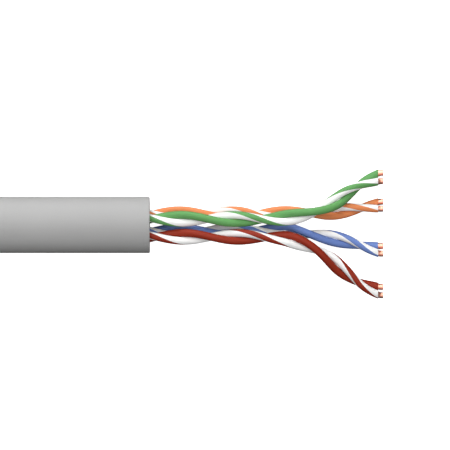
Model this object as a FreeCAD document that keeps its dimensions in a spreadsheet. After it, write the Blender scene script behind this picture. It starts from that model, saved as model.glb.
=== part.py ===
import FreeCAD, Part

import math
import os

import Sketcher

# Stripped end of a round four-pair network cable, in millimetres.
# +X runs along the cable to the bare tips, +Z is up, and the cable lies along the floor.
# The origin is on the jacket's axis, in the plane where the jacket was cut back.

doc = FreeCAD.newDocument("cable_end")


# ---------------------------------------------------------------- driving sizes

DRIVING_SIZES = [
    # alias, value, what it is
    ("conductor_od", 0.56, "diameter of a bare copper conductor"),
    ("insulation_wall", 0.08, "thickness of the insulation around a conductor"),
    ("twin_gap", 0.02, "space left between the two wires of a pair"),
    ("core_gap", 0.0575, "space left between the pairs and the jacket's bore"),
    ("jacket_wall", 0.5, "thickness of the jacket"),
    ("jacket_length", 48.4, "jacket from its back cut to its front cut"),
    ("strip_length", 21.1, "insulated wire in front of the jacket"),
    ("bare_length", 0.47, "bare copper in front of the insulation"),
    ("spare_length", 1.5, "wire swept past each cut and then trimmed off"),
    ("trim_room", 16.0, "half height and half width of the trimming blocks"),
]

# Each pair's twist: its own lay length, and how far in front of the jacket's cut
# its solid-colour wire first stands on the +Y side of the pair.
PAIR_TWISTS = {
    "orange": (9.74, 2.70),
    "green": (10.03, 2.84),
    "blue": (9.74, 2.65),
    "brown": (10.06, 3.12),
}

# Inside the jacket green and brown lie above its axis, orange and blue below it.
PAIR_LEVELS = {"orange": -0.5, "green": 0.5, "blue": -0.5, "brown": 0.5}

# Where each pair's centreline goes, as points chosen by hand: how far in front of the
# jacket's cut, how far to the side in widths of a pair, and how much of the way it has
# come down from its level in the jacket (0) to the floor (1). The first point's side
# holds all the way back through the jacket.
PAIR_ROUTES = {
    "orange": [(6.0, 0.678, 0), (11.0, 0.678, 0), (15.0, 0.726, 0.20), (16.5, 0.760, 0.46),
               (18.7, 0.973, 0.64), (20.8, 1.233, 0.73), (22.8, 1.336, 0.82)],
    "green": [(6.0, 0.404, 0), (11.1, 0.315, 0), (14.5, 0.616, 0), (16.7, 1.233, 0.21),
              (18.6, 2.192, 0.60), (20.4, 2.890, 0.82), (22.8, 3.358, 1.06)],
    "blue": [(6.0, -0.438, 0), (12.5, -0.305, 0), (14.0, -0.527, 0.10), (16.4, -0.760, 0.38),
             (18.9, -1.185, 0.60), (20.8, -1.548, 0.71), (22.8, -1.753, 0.82)],
    "brown": [(6.0, -0.747, 0), (12.0, -0.788, 0), (13.4, -1.000, 0.05), (16.2, -1.836, 0.30),
              (18.3, -3.240, 0.64), (20.2, -4.041, 0.82), (22.8, -4.488, 1.06)],
}

STEPS_PER_TURN = 8        # corners of a wire's path in one turn of its pair
ARC_SHARE = 0.45          # share of the shorter run that each corner's arc takes


def farthest_side():
    """Side of the pair that lies farthest from the jacket's axis, in widths of a pair."""
    return max(abs(route[0][1]) for route in PAIR_ROUTES.values())


DERIVED_SIZES = [
    ("insulation_od", "=conductor_od + 2 * insulation_wall"),
    ("pair_width", "=2 * insulation_od + twin_gap"),
    ("twist_radius", "=(insulation_od + twin_gap) / 2"),
    ("farthest_pair", str(farthest_side())),
    ("bundle_radius", "=pair_width * (sqrt(farthest_pair ^ 2 + 0.25) + 0.5)"),
    ("jacket_bore", "=2 * (bundle_radius + core_gap)"),
    ("jacket_od", "=jacket_bore + 2 * jacket_wall"),
    ("floor_level", "=-jacket_od / 2"),
    ("resting_level", "=floor_level + insulation_od / 2"),
]


def make_sheet():
    """The jacket is extruded over its pairs, so its bore follows from the wires."""
    sheet = doc.addObject("Spreadsheet::Sheet", "sizes")
    for row, (alias, value, meaning) in enumerate(DRIVING_SIZES, start=1):
        sheet.set(f"A{row}", meaning)
        sheet.set(f"B{row}", str(value))
        sheet.setAlias(f"B{row}", alias)
    for row, (alias, formula) in enumerate(DERIVED_SIZES, start=len(DRIVING_SIZES) + 1):
        sheet.set(f"B{row}", formula)
        sheet.setAlias(f"B{row}", alias)
    doc.recompute()
    return sheet


sheet = make_sheet()


def size(alias):
    return float(sheet.get(alias))


# ---------------------------------------------------------------- jacket

def origin_plane(body, role):
    for feature in body.Origin.OriginFeatures:
        if feature.Role == role:
            return feature
    raise ValueError(f"{body.Label} has no {role}")


def make_jacket():
    """A plain round tube, cut square at both ends."""
    body = doc.addObject("PartDesign::Body", "jacket")
    body.Label = "jacket"
    ring = body.newObject("Sketcher::SketchObject", "jacket_section")
    ring.AttachmentSupport = [(origin_plane(body, "YZ_Plane"), "")]
    ring.MapMode = "FlatFace"
    centre = FreeCAD.Vector(0, 0, 0)
    normal = FreeCAD.Vector(0, 0, 1)
    for index, alias in enumerate(("jacket_od", "jacket_bore")):
        ring.addGeometry(Part.Circle(centre, normal, size(alias) / 2), False)
        ring.addConstraint(Sketcher.Constraint("Coincident", index, 3, -1, 1))
        which = ring.addConstraint(Sketcher.Constraint("Diameter", index, size(alias)))
        ring.setExpression(f"Constraints[{which}]", f"sizes.{alias}")
    wall = body.newObject("PartDesign::Pad", "jacket_wall")
    wall.Profile = ring
    wall.Reversed = True
    wall.setExpression("Length", "sizes.jacket_length")
    body.Tip = wall
    return body


# ---------------------------------------------------------------- wire routes

def pair_poles(colour):
    """Points of one pair's centreline, from behind the jacket to past its tips."""
    width = size("pair_width")
    level = PAIR_LEVELS[colour] * width
    route = PAIR_ROUTES[colour]
    back = -size("jacket_length") - size("spare_length")
    poles = [FreeCAD.Vector(back, route[0][1] * width, level)]
    for ahead, side, drop in route:
        height = level + (size("resting_level") - level) * drop
        poles.append(FreeCAD.Vector(ahead, side * width, height))
    last_run = poles[-1] - poles[-2]
    needed = size("strip_length") + size("bare_length") + size("spare_length")
    if poles[-1].x < needed:
        poles[-1] += last_run * ((needed - poles[-1].x) / last_run.x)
    return poles


def pair_route(colour):
    """The smooth centreline through those points' control polygon."""
    poles = pair_poles(colour)
    spans = len(poles) - 2
    multiplicities = [3] + [1] * (spans - 1) + [3]
    curve = Part.BSplineCurve()
    curve.buildFromPolesMultsKnots(poles, multiplicities, list(range(spans + 1)), False, 2)
    return curve.toShape()


def wire_points(colour, turned):
    """Corners of one wire's path: a helix round its pair's centreline."""
    route = pair_route(colour)
    lay, first_top = PAIR_TWISTS[colour]
    mouth = size("jacket_length") + size("spare_length")
    radius = size("twist_radius") / math.cos(math.pi / STEPS_PER_TURN)
    up = FreeCAD.Vector(0, 0, 1)
    step = lay / STEPS_PER_TURN
    points = []
    for index in range(int(route.Length / step) + 1):
        along = index * step
        parameter = route.getParameterByLength(along)
        ahead = route.tangentAt(parameter)
        side = up.cross(ahead).normalize()
        lift = ahead.cross(side)
        angle = 2 * math.pi * (along - mouth - first_top) / lay + turned
        outward = side * math.cos(angle) + lift * math.sin(angle)
        points.append(route.valueAt(parameter) + outward * radius)
    return points


def rounded_path(points):
    """Straight runs joined by tangent arcs, with the smallest arc's radius."""
    edges = []
    start = points[0]
    smallest = math.inf
    for before, corner, after in zip(points, points[1:], points[2:]):
        back = before - corner
        ahead = after - corner
        trim = ARC_SHARE * min(back.Length, ahead.Length)
        half_turn = (math.pi - back.getAngle(ahead)) / 2
        radius = trim / math.tan(half_turn)
        back.normalize()
        ahead.normalize()
        entry = corner + back * trim
        leave = corner + ahead * trim
        bisector = (back + ahead).normalize()
        middle = corner + bisector * (radius / math.cos(half_turn) - radius)
        edges.append(Part.LineSegment(start, entry).toShape())
        edges.append(Part.Arc(entry, middle, leave).toShape())
        smallest = min(smallest, radius)
        start = leave
    edges.append(Part.LineSegment(start, points[-1]).toShape())
    return Part.Wire(edges), smallest


# ---------------------------------------------------------------- wires

def make_path(name, colour, turned):
    wire, smallest = rounded_path(wire_points(colour, turned))
    path = doc.addObject("Part::Feature", f"{name}_path")
    path.Shape = wire
    print(f"{name}: {wire.Length:.2f} mm long, smallest radius {smallest:.2f} mm")
    return path


def make_section(name, path, diameter):
    """A circle square to the path's first run."""
    first = path.Shape.Edges[0]
    section = doc.addObject("Part::Circle", f"{name}_section")
    section.setExpression("Radius", f"sizes.{diameter} / 2")
    turn = FreeCAD.Rotation(FreeCAD.Vector(0, 0, 1), first.tangentAt(first.FirstParameter))
    section.Placement = FreeCAD.Placement(first.valueAt(first.FirstParameter), turn)
    return section


def make_sweep(name, path, diameter):
    sweep = doc.addObject("Part::Sweep", f"{name}_sweep")
    sweep.Sections = [make_section(name, path, diameter)]
    sweep.Spine = (path, [f"Edge{index + 1}" for index in range(len(path.Shape.Edges))])
    sweep.Solid = True
    sweep.Frenet = False
    return sweep


def make_trim(name, length_in_front):
    """The block whose end faces are the two square cuts of a wire."""
    trim = doc.addObject("Part::Box", name)
    trim.setExpression("Length", f"sizes.jacket_length + {length_in_front}")
    trim.setExpression("Width", "2 * sizes.trim_room")
    trim.setExpression("Height", "2 * sizes.trim_room")
    trim.setExpression("Placement.Base.x", "-sizes.jacket_length")
    trim.setExpression("Placement.Base.y", "-sizes.trim_room")
    trim.setExpression("Placement.Base.z", "-sizes.trim_room")
    return trim


def make_cut(kind, name, base, tool):
    cut = doc.addObject(f"Part::{kind}", name)
    cut.Base = base
    cut.Tool = tool
    cut.Label = name
    return cut


def make_wire(name, colour, turned, insulation_trim, conductor_trim):
    """One insulated conductor: a copper core inside a tube of insulation."""
    path = make_path(name, colour, turned)
    rod = make_sweep(f"{name}_rod", path, "insulation_od")
    core = make_sweep(f"{name}_core", path, "conductor_od")
    cut_rod = make_cut("Common", f"{name}_cut_rod", rod, insulation_trim)
    insulation = make_cut("Cut", f"insulation_{name}", cut_rod, core)
    conductor = make_cut("Common", f"conductor_{name}", core, conductor_trim)
    return [insulation, conductor]


def make_wires():
    insulation_trim = make_trim("insulation_trim", "sizes.strip_length")
    conductor_trim = make_trim("conductor_trim", "sizes.strip_length + sizes.bare_length")
    pieces = []
    for colour in PAIR_TWISTS:
        for name, turned in ((colour, 0.0), (f"white_{colour}", math.pi)):
            pieces += make_wire(name, colour, turned, insulation_trim, conductor_trim)
    return pieces


# ---------------------------------------------------------------- build and write

def check(pieces):
    for item in doc.Objects:
        bad = [word for word in item.State if word in ("Invalid", "Error")]
        if bad:
            raise RuntimeError(f"{item.Label} is {bad}")
    for piece in pieces:
        if piece.Shape.isNull() or not piece.Shape.isValid():
            raise RuntimeError(f"{piece.Label} has no valid shape")
        if len(piece.Shape.Solids) != 1:
            raise RuntimeError(f"{piece.Label} has {len(piece.Shape.Solids)} solids")


def write(pieces):
    os.makedirs("parts", exist_ok=True)
    for piece in pieces:
        piece.Shape.exportStep(f"parts/{piece.Label}.step")
        print(f"{piece.Label}: {piece.Shape.Volume:.3f} mm3, {len(piece.Shape.Faces)} faces")


pieces = [make_jacket()] + make_wires()
doc.recompute()
check(pieces)
write(pieces)
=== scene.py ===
"""The stripped end of a four-pair network cable on a pale floor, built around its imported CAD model.

Lengths in the tables are millimetres in the row frame: X runs along the cable to its bare tips,
Z is up, and the origin is on the jacket's axis at its front cut.
"""

import math
import random

import bpy
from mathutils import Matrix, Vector


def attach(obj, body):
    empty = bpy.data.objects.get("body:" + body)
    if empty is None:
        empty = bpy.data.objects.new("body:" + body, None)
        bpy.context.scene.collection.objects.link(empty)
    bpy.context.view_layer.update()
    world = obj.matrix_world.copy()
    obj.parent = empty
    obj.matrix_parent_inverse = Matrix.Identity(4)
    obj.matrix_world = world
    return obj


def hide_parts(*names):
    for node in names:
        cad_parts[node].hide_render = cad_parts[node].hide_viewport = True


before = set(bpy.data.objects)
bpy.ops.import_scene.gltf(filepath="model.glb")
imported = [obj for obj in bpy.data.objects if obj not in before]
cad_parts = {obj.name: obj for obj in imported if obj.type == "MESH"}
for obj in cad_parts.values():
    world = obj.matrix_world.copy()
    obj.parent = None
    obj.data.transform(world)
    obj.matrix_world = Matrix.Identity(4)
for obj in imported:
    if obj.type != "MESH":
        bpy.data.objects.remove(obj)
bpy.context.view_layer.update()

MM = 0.001

# The jacket: a tube from its back cut to its front cut at the origin.
JACKET_RADIUS = 2.6
BORE_RADIUS = 2.1
JACKET_LENGTH = 48.4
JACKET_SIDES = 120
OUTSIDE_SECTIONS = 48
BORE_SECTIONS = 24
BACK_EDGE = 0.05
PLAIN_END = 0.4
# The softened edges of the front cut: (x, distance from the outside or from the bore).
FRONT_EDGE = [(-0.20, 0.0), (-0.08, 0.006), (-0.03, 0.025), (-0.008, 0.055), (0.0, 0.10)]
FRONT_BORE_EDGE = [(0.0, 0.10), (-0.03, 0.03), (-0.10, 0.0)]
# How far the knife drew the jacket in and back at its front cut, and how far back that shows.
KNIFE_SQUEEZE = 0.004
KNIFE_PULL = 0.012
KNIFE_REACH = 0.3
KNIFE_WAVES = 6
KNIFE_SEED = 7

# Each pair's twist: the length of one turn, and how far in front of the jacket's cut its coloured
# wire first stands on the +Y side.
TWISTS = {
    "orange": (9.74, 2.70),
    "green": (10.03, 2.84),
    "blue": (9.74, 2.65),
    "brown": (10.06, 3.12),
}
# Each pair's route: the control points of its centreline, from behind the jacket to past the tips.
ROUTES = {
    "orange": [
        (-49.9, 0.990, -0.730),
        (6.0, 0.990, -0.730),
        (11.0, 0.990, -0.730),
        (15.0, 1.060, -1.030),
        (16.5, 1.110, -1.420),
        (18.7, 1.420, -1.700),
        (20.8, 1.800, -1.830),
        (23.07, 1.970, -1.990),
    ],
    "green": [
        (-49.9, 0.590, 0.730),
        (6.0, 0.590, 0.730),
        (11.1, 0.460, 0.730),
        (14.5, 0.900, 0.730),
        (16.7, 1.800, 0.100),
        (18.6, 3.200, -1.050),
        (20.4, 4.220, -1.700),
        (23.07, 4.980, -2.498),
    ],
    "blue": [
        (-49.9, -0.640, -0.730),
        (6.0, -0.640, -0.730),
        (12.5, -0.445, -0.730),
        (14.0, -0.770, -0.881),
        (16.4, -1.110, -1.304),
        (18.9, -1.730, -1.636),
        (20.8, -2.260, -1.800),
        (23.07, -2.600, -1.991),
    ],
    "brown": [
        (-49.9, -1.090, 0.730),
        (6.0, -1.090, 0.730),
        (12.0, -1.150, 0.730),
        (13.4, -1.460, 0.582),
        (16.2, -2.680, -0.161),
        (18.3, -4.730, -1.170),
        (20.2, -5.900, -1.700),
        (23.07, -6.620, -2.494),
    ],
}

# The wires, each a helix round its pair's route.
TWIST_RADIUS = 0.37
INSULATION_RADIUS = 0.36
HOLE_RADIUS = 0.284
COPPER_RADIUS = 0.28
BACK_CUT = -JACKET_LENGTH
INSULATION_CUT = 21.10
COPPER_CUT = 21.57
EDGE_ROUND = 0.03
WIRE_SIDES = 32
# Distances between a wire's sections in front of the jacket's mouth and hidden behind it.
FREE_STEP = 0.16
HIDDEN_STEP = 0.32
HIDDEN_UNTIL = -2.0
# How far a wire's places run past its back cut, and stop short of its route's end.
PLACES_BEHIND = 0.6
PLACES_SHORT = 0.1
# The sections between the cuts stay this far from them.
CUT_MARGIN = 0.22
# Shares of the bare copper's length at which it has sections.
BARE_SHARES = (0.15, 0.3, 0.45, 0.6, 0.75)

# The stripe on each white wire, in degrees round the wire from the side that faces away from its
# partner, and how many of the wire's sides it takes.
STRIPE_CENTRE = 18.0
STRIPE_HALF_WIDTH = 43.0
STRIPE_SIDES = 8

# The camera is square on to the cable.
CAMERA_LENS = 800.0
SENSOR_WIDTH = 36.0
PICTURE_WIDTH = 41.55
PICTURE_CENTRE = (6.929, -0.010)

# The studio: a round floor, and a dome whose rings of points rise to this many degrees.
FLOOR_LEVEL = -JACKET_RADIUS
STAGE_RADIUS = 1800.0
STAGE_SIDES = 64
DOME_RINGS = 17
DOME_TOP = 85.0
SKY_STRENGTH = 0.26

# Linear red, green and blue.
COLOURS = {
    "orange": (0.775, 0.250, 0.092),
    "green": (0.121, 0.342, 0.105),
    "blue": (0.150, 0.236, 0.560),
    "brown": (0.285, 0.026, 0.009),
    "white": (0.93, 0.93, 0.92),
    "jacket": (0.395, 0.395, 0.393),
    "copper": (0.84, 0.38, 0.27),
}


# ---- meshes ----


def add_mesh(name, points, faces, materials, face_materials=None, sharp=35.0):
    """A smooth-shaded mesh in metres from points in millimetres, riding on the cable."""
    mesh = bpy.data.meshes.new(name)
    mesh.from_pydata([[c * MM for c in p] for p in points], [], faces)
    for material in materials:
        mesh.materials.append(material)
    if face_materials:
        mesh.polygons.foreach_set("material_index", face_materials)
    mesh.polygons.foreach_set("use_smooth", [True] * len(mesh.polygons))
    mesh.set_sharp_from_angle(angle=math.radians(sharp))
    mesh.validate()
    piece = bpy.data.objects.new(name, mesh)
    bpy.context.scene.collection.objects.link(piece)
    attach(piece, "root")
    return piece


def joined_rings(rings, sides, closed):
    """Quads between neighbouring rings of points, and between the last and the first if closed."""
    faces = []
    for ring in range(rings if closed else rings - 1):
        after = (ring + 1) % rings
        for side in range(sides):
            beside = (side + 1) % sides
            faces.append(
                (
                    ring * sides + side,
                    ring * sides + beside,
                    after * sides + beside,
                    after * sides + side,
                )
            )
    return faces


# ---- routes ----


def route_line(points):
    """The points of a pair's smooth centreline, in millimetres, read from its NURBS spline."""
    curve = bpy.data.curves.new("route", "CURVE")
    curve.dimensions = "3D"
    curve.resolution_u = 96
    spline = curve.splines.new("NURBS")
    spline.points.add(len(points) - 1)
    for knot, place in zip(spline.points, points):
        knot.co = [c * MM for c in place] + [1.0]
    spline.order_u = 3
    spline.use_endpoint_u = True
    holder = bpy.data.objects.new("route", curve)
    bpy.context.scene.collection.objects.link(holder)
    bpy.context.view_layer.update()
    line = bpy.data.meshes.new_from_object(holder)
    found = [v.co / MM for v in line.vertices]
    bpy.data.objects.remove(holder)
    bpy.data.curves.remove(curve)
    bpy.data.meshes.remove(line)
    return found


def along_route(line):
    """The distance along the line of each of its points from the plane of the jacket's front cut."""
    reach = [0.0]
    for a, b in zip(line, line[1:]):
        reach.append(reach[-1] + (b - a).length)
    start = next(
        reach[i] + (reach[i + 1] - reach[i]) * -line[i].x / (line[i + 1].x - line[i].x)
        for i in range(len(line) - 1)
        if line[i].x <= 0.0 < line[i + 1].x
    )
    return [r - start for r in reach]


def place_on_route(line, reach, distance):
    """The point and the direction of the line at a distance along it."""
    low = 0
    high = len(line) - 1
    while high - low > 1:
        middle = (low + high) // 2
        if reach[middle] <= distance:
            low = middle
        else:
            high = middle
    share = (distance - reach[low]) / (reach[high] - reach[low])
    before = (line[high] - line[max(low - 1, 0)]).normalized()
    after = (line[min(high + 1, len(line) - 1)] - line[low]).normalized()
    return line[low].lerp(line[high], share), before.lerp(after, share).normalized()


def wire_places(colour, turned):
    """Points along one wire of a pair: (distance, centre, direction away from its partner)."""
    line = route_line(ROUTES[colour])
    reach = along_route(line)
    lay, first_top = TWISTS[colour]
    places = []
    distance = BACK_CUT - PLACES_BEHIND
    while distance < reach[-1] - PLACES_SHORT:
        middle, run = place_on_route(line, reach, distance)
        side = Vector((0, 0, 1)).cross(run).normalized()
        lift = run.cross(side)
        turn = math.tau * (distance - first_top) / lay + turned
        out = side * math.cos(turn) + lift * math.sin(turn)
        places.append((distance, middle + out * TWIST_RADIUS, out))
        distance += FREE_STEP if distance > HIDDEN_UNTIL else HIDDEN_STEP
    return places


def wire_sections(places):
    """The section at a wire's back cut, the list of those between its cuts, and the one at its
    insulation's front cut. Each is (distance, centre, run, out, across).
    """
    sections = []
    for i in range(1, len(places) - 1):
        distance, centre, out = places[i]
        run = (places[i + 1][1] - places[i - 1][1]).normalized()
        out = (out - run * out.dot(run)).normalized()
        sections.append((distance, centre, run, out, run.cross(out)))
    low = BACK_CUT + CUT_MARGIN
    high = INSULATION_CUT - CUT_MARGIN
    inside = [s for s in sections if low < s[1].x < high]
    first = sections.index(inside[0])
    last = sections.index(inside[-1])
    return sections[first - 1], inside, sections[last + 1]


def ring_points(section, radius, angles):
    """The points of a wire's section, at these angles from the side that faces away from its partner."""
    _, centre, run, out, across = section
    return [
        centre + out * (radius * math.cos(a)) + across * (radius * math.sin(a))
        for a in angles
    ]


def cut_ring(section, radius, angles, x):
    """The section's points, carried along the wire to the plane of a square cut."""
    run = section[2]
    return [p + run * ((x - p.x) / run.x) for p in ring_points(section, radius, angles)]


def stub_rings(section, angles):
    """Rings of bare copper past the insulation, which level out towards the cable's own direction."""
    _, centre, run, out, _ = section
    start = centre + run * ((INSULATION_CUT - centre.x) / run.x)
    length = COPPER_CUT - INSULATION_CUT
    slope = run / run.x
    level = Vector((1, 0, 0))
    rings = []
    for share in (*BARE_SHARES, 1.0 - EDGE_ROUND / length, 1.0):
        bent = (1.0 - (1.0 - share) ** 3) / 3.0
        middle = start + level * (share - bent) * length + slope * bent * length
        aim = (slope * (1.0 - share) ** 2 + level * (1.0 - (1.0 - share) ** 2)).normalized()
        away = (out - aim * out.dot(aim)).normalized()
        at_tip = EDGE_ROUND if share == 1.0 else 0.0
        place = (0.0, middle, aim, away, aim.cross(away))
        rings.append(ring_points(place, COPPER_RADIUS - at_tip, angles))
    return rings


def section_angles():
    """Angles round a wire, with a point exactly at each edge of the stripe."""
    low = math.radians(STRIPE_CENTRE - STRIPE_HALF_WIDTH)
    high = math.radians(STRIPE_CENTRE + STRIPE_HALF_WIDTH)
    angles = [low + (high - low) * i / STRIPE_SIDES for i in range(STRIPE_SIDES)]
    rest = WIRE_SIDES - STRIPE_SIDES
    return angles + [high + (math.tau - high + low) * i / rest for i in range(rest)]


# ---- materials ----


def new_material(name, colour, roughness):
    """A material with its node tree, shader and colour ready for detail."""
    material = bpy.data.materials.new(name)
    material.use_nodes = True
    tree = material.node_tree
    shader = tree.nodes["Principled BSDF"]
    shader.inputs["Base Color"].default_value = (*colour, 1.0)
    shader.inputs["Roughness"].default_value = roughness
    return material, tree, shader


def add_node(tree, kind, **inputs):
    """A node with these inputs set. An underscore in an input's name stands for a space."""
    node = tree.nodes.new(kind)
    for name, value in inputs.items():
        node.inputs[name.replace("_", " ")].default_value = value
    return node


def object_place(tree, scale):
    """The place on the object, in metres times the scale of each axis."""
    place = tree.nodes.new("ShaderNodeTexCoord")
    mapping = add_node(tree, "ShaderNodeMapping", Scale=scale)
    tree.links.new(place.outputs["Object"], mapping.inputs["Vector"])
    return mapping.outputs["Vector"]


def along_place(tree, scale):
    """The place on a wire as it was drawn: round it, and along it."""
    place = tree.nodes.new("ShaderNodeAttribute")
    place.attribute_name = "drawn_place"
    mapping = add_node(tree, "ShaderNodeMapping", Scale=scale)
    tree.links.new(place.outputs["Vector"], mapping.inputs["Vector"])
    return mapping.outputs["Vector"]


def noise(tree, place, scale, detail=3.0, roughness=0.5):
    """Noise from 0 to 1 at this place."""
    node = add_node(
        tree, "ShaderNodeTexNoise", Scale=scale, Detail=detail, Roughness=roughness
    )
    tree.links.new(place, node.inputs["Vector"])
    return node.outputs["Fac"]


def spread(tree, value, low, high):
    """The value from 0 to 1 mapped to low to high."""
    node = tree.nodes.new("ShaderNodeMapRange")
    node.inputs["To Min"].default_value = low
    node.inputs["To Max"].default_value = high
    tree.links.new(value, node.inputs["Value"])
    return node.outputs["Result"]


def vary_colour(tree, shader, value, colour, amount):
    """The shader's colour, lighter and darker by the amount with the value."""
    mix = tree.nodes.new("ShaderNodeMix")
    mix.data_type = "RGBA"
    dark = [c * (1.0 - amount) for c in colour]
    light = [min(1.0, c * (1.0 + amount)) for c in colour]
    mix.inputs["A"].default_value = (*dark, 1.0)
    mix.inputs["B"].default_value = (*light, 1.0)
    tree.links.new(value, mix.inputs["Factor"])
    tree.links.new(mix.outputs["Result"], shader.inputs["Base Color"])


def add_bump(tree, shader, height, depth, strength):
    """A bump of this depth in metres."""
    bump = add_node(tree, "ShaderNodeBump", Strength=strength, Distance=depth)
    tree.links.new(height, bump.inputs["Height"])
    tree.links.new(bump.outputs["Normal"], shader.inputs["Normal"])


def jacket_material():
    """Grey PVC with a satin skin, faint streaks from the extruder and a fine grain."""
    colour = COLOURS["jacket"]
    material, tree, shader = new_material("grey_pvc", colour, 0.5)
    shader.inputs["Specular IOR Level"].default_value = 0.15
    streaks = noise(tree, object_place(tree, (40.0, 2600.0, 2600.0)), 1.0, 4.0)
    place = object_place(tree, (1.0, 1.0, 1.0))
    grain = noise(tree, place, 9000.0, 2.0)
    clouds = noise(tree, place, 260.0, 3.0)
    vary_colour(tree, shader, clouds, colour, 0.035)
    tree.links.new(spread(tree, streaks, 0.42, 0.60), shader.inputs["Roughness"])
    both = tree.nodes.new("ShaderNodeMath")
    both.operation = "ADD"
    tree.links.new(streaks, both.inputs[0])
    tree.links.new(grain, both.inputs[1])
    add_bump(tree, shader, both.outputs["Value"], 0.00003, 0.35)
    return material


def insulation_material(name):
    """Coloured polyethylene: smooth and a little waxy, with faint streaks along the wire."""
    colour = COLOURS[name]
    material, tree, shader = new_material(name + "_polyethylene", colour, 0.5)
    shader.inputs["Specular IOR Level"].default_value = 0.18
    streaks = noise(tree, along_place(tree, (2.2, 2.2, 0.25)), 3.0, 3.0)
    clouds = noise(tree, along_place(tree, (1.0, 1.0, 1.0)), 0.8, 2.0)
    vary_colour(tree, shader, clouds, colour, 0.06)
    tree.links.new(spread(tree, streaks, 0.40, 0.58), shader.inputs["Roughness"])
    add_bump(tree, shader, streaks, 0.00001, 0.3)
    return material


def copper_material():
    """Bare drawn copper with fine die lines along it."""
    colour = COLOURS["copper"]
    material, tree, shader = new_material("bare_copper", colour, 0.32)
    shader.inputs["Metallic"].default_value = 1.0
    lines = noise(tree, along_place(tree, (9.0, 9.0, 0.35)), 2.0, 4.0)
    clouds = noise(tree, along_place(tree, (1.0, 1.0, 1.0)), 1.5, 2.0)
    vary_colour(tree, shader, clouds, colour, 0.08)
    tree.links.new(spread(tree, lines, 0.26, 0.42), shader.inputs["Roughness"])
    add_bump(tree, shader, lines, 0.000008, 0.4)
    return material


def floor_material():
    """The pale sheet that the cable lies on."""
    material, tree, shader = new_material("white_sheet", (0.9, 0.9, 0.9), 0.9)
    shader.inputs["Specular IOR Level"].default_value = 0.0
    shader.inputs["Emission Color"].default_value = (1.0, 1.0, 1.0, 1.0)
    shader.inputs["Emission Strength"].default_value = 0.9
    grain = noise(tree, object_place(tree, (1.0, 1.0, 1.0)), 400.0)
    tree.links.new(spread(tree, grain, 0.85, 0.95), shader.inputs["Roughness"])
    return material


# ---- pieces ----


def store_drawn_place(piece, values):
    """Keeps each point's place round and along the wire, in millimetres, for the materials."""
    attribute = piece.data.attributes.new("drawn_place", "FLOAT_VECTOR", "POINT")
    attribute.data.foreach_set("vector", [c for v in values for c in v])


def outside_rings(sections, angles, radius):
    """A wire's outside from its back cut's edge on: each ring with its distance along the wire."""
    back, inside, _ = sections
    rings = [
        (cut_ring(back, radius - EDGE_ROUND, angles, BACK_CUT), back[0]),
        (cut_ring(back, radius, angles, BACK_CUT + EDGE_ROUND), back[0]),
    ]
    return rings + [(ring_points(s, radius, angles), s[0]) for s in inside]


def insulation_rings(sections, angles):
    """The insulation's rings, along its outside, and back along its hole, with how many are outside."""
    back, inside, front = sections
    outside = outside_rings(sections, angles, INSULATION_RADIUS)
    for radius, x in (
        (INSULATION_RADIUS, INSULATION_CUT - EDGE_ROUND),
        (INSULATION_RADIUS - EDGE_ROUND, INSULATION_CUT),
    ):
        outside.append((cut_ring(front, radius, angles, x), front[0]))
    hole = [(cut_ring(front, HOLE_RADIUS, angles, INSULATION_CUT), front[0])]
    hole += [(ring_points(s, HOLE_RADIUS, angles), s[0]) for s in reversed(inside)]
    hole.append((cut_ring(back, HOLE_RADIUS, angles, BACK_CUT), back[0]))
    return outside + hole, len(outside)


def copper_rings(sections, angles):
    """The copper's rings, which go on past the insulation."""
    front = sections[2]
    bare = [(ring, front[0]) for ring in stub_rings(front, angles)]
    return outside_rings(sections, angles, COPPER_RADIUS) + bare


def add_wire_piece(name, rings, faces, radius, angles, materials, face_materials=None):
    """One piece of a wire from its rings, each with its distance along the wire."""
    points = [p for ring, _ in rings for p in ring]
    drawn = [
        (radius * math.cos(a), radius * math.sin(a), reach)
        for _, reach in rings
        for a in angles
    ]
    turned_out = [tuple(reversed(f)) for f in faces]
    piece = add_mesh(name, points, turned_out, materials, face_materials)
    store_drawn_place(piece, drawn)
    return piece


def add_insulation(name, sections, materials):
    """A tube of insulation. With two materials, the second is its stripe."""
    angles = section_angles()
    rings, outside = insulation_rings(sections, angles)
    faces = joined_rings(len(rings), WIRE_SIDES, True)
    chosen = None
    if len(materials) > 1:
        chosen = [
            1 if i % WIRE_SIDES < STRIPE_SIDES and i // WIRE_SIDES < outside else 0
            for i in range(len(faces))
        ]
    return add_wire_piece(name, rings, faces, INSULATION_RADIUS, angles, materials, chosen)


def add_copper(name, sections, material):
    """A solid copper conductor."""
    angles = section_angles()
    rings = copper_rings(sections, angles)
    faces = joined_rings(len(rings), WIRE_SIDES, False)
    faces.append(tuple(reversed(range(WIRE_SIDES))))
    faces.append(tuple(range((len(rings) - 1) * WIRE_SIDES, len(rings) * WIRE_SIDES)))
    return add_wire_piece(name, rings, faces, COPPER_RADIUS, angles, [material])


def jacket_profile():
    """The jacket's outline, (x, radius), from the back cut round the outside and back along the bore."""
    back = -JACKET_LENGTH
    outline = [(back, BORE_RADIUS), (back, JACKET_RADIUS - BACK_EDGE)]
    outline.append((back + BACK_EDGE, JACKET_RADIUS))
    plain = JACKET_LENGTH - PLAIN_END
    for i in range(1, OUTSIDE_SECTIONS):
        outline.append((back + plain * i / OUTSIDE_SECTIONS, JACKET_RADIUS))
    outline += [(x, JACKET_RADIUS - depth) for x, depth in FRONT_EDGE]
    outline += [(x, BORE_RADIUS + depth) for x, depth in FRONT_BORE_EDGE]
    bore_start = FRONT_BORE_EDGE[-1][0]
    bore = JACKET_LENGTH + 2 * bore_start
    for i in range(1, BORE_SECTIONS):
        outline.append((bore_start - bore * i / BORE_SECTIONS, BORE_RADIUS))
    return outline


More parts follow.
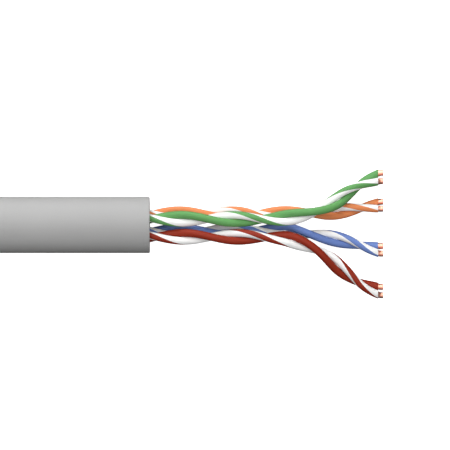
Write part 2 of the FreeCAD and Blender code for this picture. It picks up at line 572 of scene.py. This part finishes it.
def jacket_mesh(material):
    """The jacket, with the faint unevenness that a knife leaves at its front cut."""
    draws = random.Random(KNIFE_SEED)
    waves = [(draws.uniform(0.3, 1.0), draws.uniform(0, math.tau)) for _ in range(KNIFE_WAVES)]
    points = []
    profile = jacket_profile()
    for x, radius in profile:
        for side in range(JACKET_SIDES):
            angle = math.tau * side / JACKET_SIDES
            rough = sum(
                size * math.cos((n + 2) * angle + phase)
                for n, (size, phase) in enumerate(waves)
            )
            near_cut = max(0.0, 1.0 + x / KNIFE_REACH)
            r = radius - KNIFE_SQUEEZE * near_cut * (1.0 + 0.3 * rough)
            shift = -KNIFE_PULL * near_cut * (1.0 + 0.35 * rough)
            points.append((x + shift, r * math.cos(angle), r * math.sin(angle)))
    faces = joined_rings(len(profile), JACKET_SIDES, True)
    return add_mesh("cable_jacket", points, faces, [material], sharp=50.0)


def make_wires(materials, copper):
    """The four pairs: for each wire its insulation and its copper."""
    pieces = []
    for colour in ROUTES:
        kinds = (
            (colour, 0.0, [materials[colour]]),
            ("white_" + colour, math.pi, [materials["white"], materials[colour]]),
        )
        for kind, turned, skins in kinds:
            sections = wire_sections(wire_places(colour, turned))
            insulation = add_insulation("wire_" + kind, sections, skins)
            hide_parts("insulation_" + kind)
            core = add_copper("copper_" + kind, sections, copper)
            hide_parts("conductor_" + kind)
            pieces += [insulation, core]
    return pieces


def make_jacket(material):
    """The jacket is the cable's outside."""
    jacket = jacket_mesh(material)
    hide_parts("jacket")
    line = route_line([(x, 0.0, 0.0) for x in (BACK_CUT, -32.0, -16.0, 0.0)])


# ---- floor, light and camera ----


def add_stage(name, points, faces, material):
    """A piece of the studio that only the camera sees."""
    mesh = bpy.data.meshes.new(name)
    mesh.from_pydata([[c * MM for c in p] for p in points], [], faces)
    mesh.materials.append(material)
    stage = bpy.data.objects.new(name, mesh)
    bpy.context.scene.collection.objects.link(stage)
    stage.visible_diffuse = False
    stage.visible_glossy = False
    stage.visible_shadow = False


def make_floor():
    """A round floor, and a white dome that meets its edge."""
    material = floor_material()
    around = [math.tau * i / STAGE_SIDES for i in range(STAGE_SIDES)]
    rings = []
    for level in range(DOME_RINGS):
        rise = math.radians(DOME_TOP) * level / (DOME_RINGS - 1)
        reach = STAGE_RADIUS * math.cos(rise)
        height = FLOOR_LEVEL + STAGE_RADIUS * math.sin(rise)
        rings.append([(reach * math.cos(a), reach * math.sin(a), height) for a in around])
    add_stage("floor", rings[0], [tuple(range(STAGE_SIDES))], material)
    points = [p for ring in rings for p in ring]
    faces = joined_rings(DOME_RINGS, STAGE_SIDES, False)
    faces.append(tuple(range((DOME_RINGS - 1) * STAGE_SIDES, DOME_RINGS * STAGE_SIDES)))
    add_stage("backdrop", points, faces, material)


def add_sun(name, energy, softness, azimuth, elevation):
    """A soft white light from far away. Azimuth 0 is from +X and 90 from +Y."""
    light = bpy.data.lights.new(name, "SUN")
    light.energy = energy
    light.angle = math.radians(softness)
    lamp = bpy.data.objects.new(name, light)
    a = math.radians(azimuth)
    e = math.radians(elevation)
    aim = Vector((math.cos(a) * math.cos(e), math.sin(a) * math.cos(e), math.sin(e)))
    lamp.rotation_euler = aim.to_track_quat("Z", "Y").to_euler()
    bpy.context.scene.collection.objects.link(lamp)


def make_sky():
    """An even white sky that fades out near the horizon and is dark below it."""
    world = bpy.data.worlds.new("studio")
    world.use_nodes = True
    tree = world.node_tree
    backdrop = tree.nodes["Background"]
    backdrop.inputs["Color"].default_value = (1.0, 1.0, 1.0, 1.0)
    direction = tree.nodes.new("ShaderNodeTexCoord")
    parts = tree.nodes.new("ShaderNodeSeparateXYZ")
    fade = tree.nodes.new("ShaderNodeMapRange")
    fade.inputs["From Min"].default_value = -0.15
    fade.inputs["From Max"].default_value = 0.15
    fade.inputs["To Max"].default_value = SKY_STRENGTH
    tree.links.new(direction.outputs["Generated"], parts.inputs["Vector"])
    tree.links.new(parts.outputs["Z"], fade.inputs["Value"])
    tree.links.new(fade.outputs["Result"], backdrop.inputs["Strength"])
    bpy.context.scene.world = world


def make_lights():
    """Soft light from the +Y side, low and high, with light from above and a weak fill."""
    add_sun("side", 2.0, 34.0, 98.0, 8.0)
    add_sun("key", 0.8, 34.0, 98.0, 50.0)
    add_sun("top", 1.5, 60.0, 90.0, 82.0)
    add_sun("fill", 0.18, 60.0, -90.0, 50.0)
    make_sky()
    bpy.context.scene.view_settings.view_transform = "Standard"


def make_camera():
    """A long lens straight above the cable, so that there is no visible perspective."""
    camera = bpy.data.cameras.new("camera")
    camera.lens = CAMERA_LENS
    camera.sensor_width = SENSOR_WIDTH
    distance = CAMERA_LENS * PICTURE_WIDTH / SENSOR_WIDTH
    holder = bpy.data.objects.new("camera", camera)
    holder.location = (
        PICTURE_CENTRE[0] * MM,
        PICTURE_CENTRE[1] * MM,
        distance * MM,
    )
    bpy.context.scene.collection.objects.link(holder)
    bpy.context.scene.camera = holder


def main():
    materials = {name: insulation_material(name) for name in [*ROUTES, "white"]}
    wires = make_wires(materials, copper_material())
    make_jacket(jacket_material())
    make_floor()
    make_lights()
    make_camera()


main()
bpy.context.view_layer.update()
